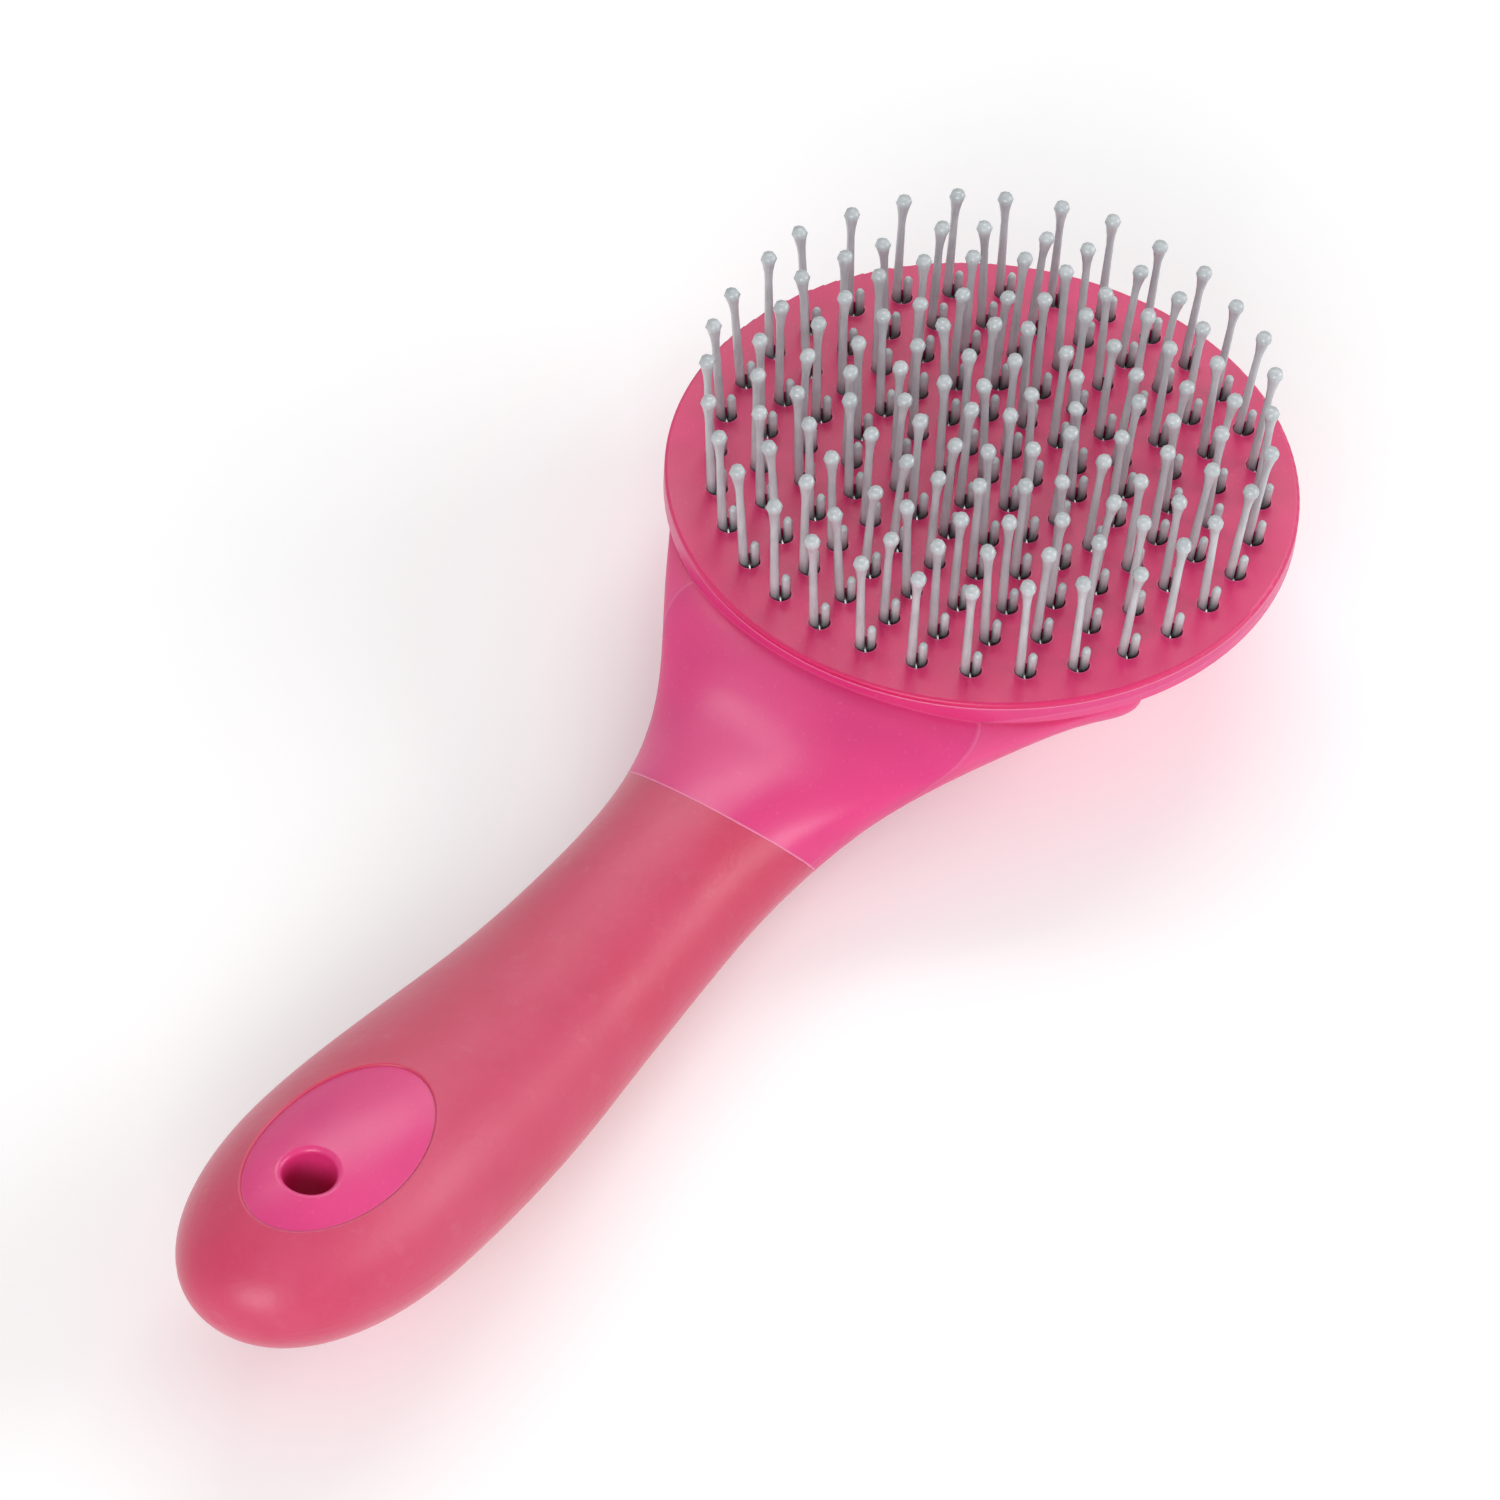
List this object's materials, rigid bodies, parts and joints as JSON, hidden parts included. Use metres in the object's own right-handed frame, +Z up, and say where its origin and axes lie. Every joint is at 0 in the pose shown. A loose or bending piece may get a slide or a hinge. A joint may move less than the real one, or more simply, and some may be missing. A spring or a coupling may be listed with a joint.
{
  "type": "mane and tail brush",
  "caption": "Round-headed horse mane and tail brush with ball-tipped folded filament pins, a hard-plastic body, a soft overmoulded grip and a hanging hole.",
  "frame": {"origin": "middle of the bounding box at its lowest level, on the table under the middle of the brush's length", "axes": "+X along the brush towards the head, +Y across it, +Z up out of the pin face"},
  "size_m": [0.2143, 0.084, 0.041],
  "materials": {
    "hard_plastic": "satin pink injection-moulded plastic",
    "soft_grip": "matt coral-pink soft-touch elastomer",
    "pin_block_plastic": "satin pink moulded plastic, drilled",
    "cover_plastic": "satin pink moulded plastic, slightly duller",
    "filament": "grey translucent nylon filament with ball tips",
    "anchor_steel": "flat anchor strip"
  },
  "bodies": {
    "root": {"hard_body": "hard_plastic", "soft_grip": "soft_grip", "pin_block": "pin_block_plastic", "back_cover": "cover_plastic", "pins_ring_1": "filament", "pins_ring_2": "filament", "pins_ring_3": "filament", "pins_ring_4": "filament", "pins_ring_5": "filament", "pins_ring_6": "filament", "pins_ring_7": "filament", "anchors_ring_1": "anchor_steel", "anchors_ring_2": "anchor_steel", "anchors_ring_3": "anchor_steel", "anchors_ring_4": "anchor_steel", "anchors_ring_5": "anchor_steel", "anchors_ring_6": "anchor_steel", "anchors_ring_7": "anchor_steel"}
  },
  "joints": []
}
